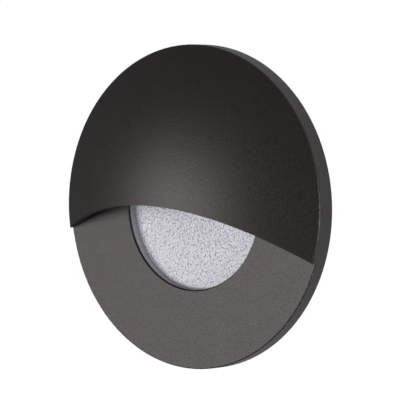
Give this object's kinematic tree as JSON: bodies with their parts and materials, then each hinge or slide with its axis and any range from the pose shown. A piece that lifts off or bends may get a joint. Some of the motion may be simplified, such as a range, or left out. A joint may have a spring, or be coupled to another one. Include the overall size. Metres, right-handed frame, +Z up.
{
  "type": "recessed wall spotlight",
  "caption": "Recessed round wall spotlight with an eyelid hood over a pebbled lens, a finned can held by folding spring clips, and a cable gland at the rear.",
  "frame": {"origin": "centre of the bezel's rear face, in the plane of the wall, on the axis of the can", "axes": "-Y out of the wall toward the room, +Y along the can into the wall, +Z up, hood over the upper half"},
  "size_m": [0.1514, 0.0911, 0.1],
  "materials": {
    "finish_grey": "fine textured warm grey powder coat",
    "lens_glass": "pebbled front, frosted",
    "silicone_grey": "matt",
    "die_cast": "as cast, bead blasted",
    "polished_reflector": "vapour coated",
    "led_phosphor": "silicone gel",
    "board_white": "white solder mask",
    "pad_grey": "soft",
    "wire_red": "silicone sleeve",
    "board_green": "solder mask",
    "terminal_green": "moulded",
    "transformer_tape": "tape",
    "capacitor_sleeve": "shrink sleeve",
    "nylon_black": "moulded",
    "fibre_washer": "pressed fibre",
    "rubber_black": "matt",
    "spring_steel": "bright wire",
    "zinc_steel": "zinc plated"
  },
  "bodies": {
    "body": {"hood_bezel": "finish_grey", "lens_gasket": "silicone_grey", "lens": "lens_glass", "lens_clamp_ring": "zinc_steel", "clamp_ring_screws": "zinc_steel", "wall_gasket": "rubber_black", "housing_gasket": "rubber_black", "housing": "die_cast", "bezel_screws": "zinc_steel", "reflector": "polished_reflector", "led_emitter": "led_phosphor", "led_board": "board_white", "thermal_pad": "pad_grey", "led_board_screws": "zinc_steel", "led_leads": "wire_red", "lead_grommet": "rubber_black", "driver_board": "board_green", "driver_transformer": "transformer_tape", "driver_capacitor": "capacitor_sleeve", "terminal_block": "terminal_green", "driver_board_screws": "zinc_steel", "rear_cap": "die_cast", "rear_cap_seal": "rubber_black", "rear_cap_screws": "zinc_steel", "gland_body": "nylon_black", "gland_washer": "fibre_washer", "gland_locknut": "nylon_black", "gland_seal": "rubber_black", "gland_nut": "nylon_black", "clip_bracket_left": "zinc_steel", "clip_bracket_right": "zinc_steel", "clip_bracket_screws": "zinc_steel", "clip_pin_left": "zinc_steel", "clip_pin_right": "zinc_steel", "clip_spring_left": "spring_steel", "clip_spring_right": "spring_steel"},
    "clip_left": {"clip_arm_left": "zinc_steel", "clip_foot_left": "rubber_black"},
    "clip_right": {"clip_arm_right": "zinc_steel", "clip_foot_right": "rubber_black"}
  },
  "joints": [
    {"name": "clip_hinge_left", "type": "hinge", "parent": "body", "child": "clip_left", "pos_m": [-0.0382, 0.012, 0], "axis": [0, 0, -1], "range_deg": [0, 94], "stiffness_Nm_per_rad": 0.08, "springref_deg": -28.65, "deforming": ["clip_spring_left"]},
    {"name": "clip_hinge_right", "type": "hinge", "parent": "body", "child": "clip_right", "pos_m": [0.0382, 0.012, 0], "axis": [0, 0, 1], "range_deg": [0, 94], "stiffness_Nm_per_rad": 0.08, "springref_deg": -28.65, "deforming": ["clip_spring_right"]}
  ]
}
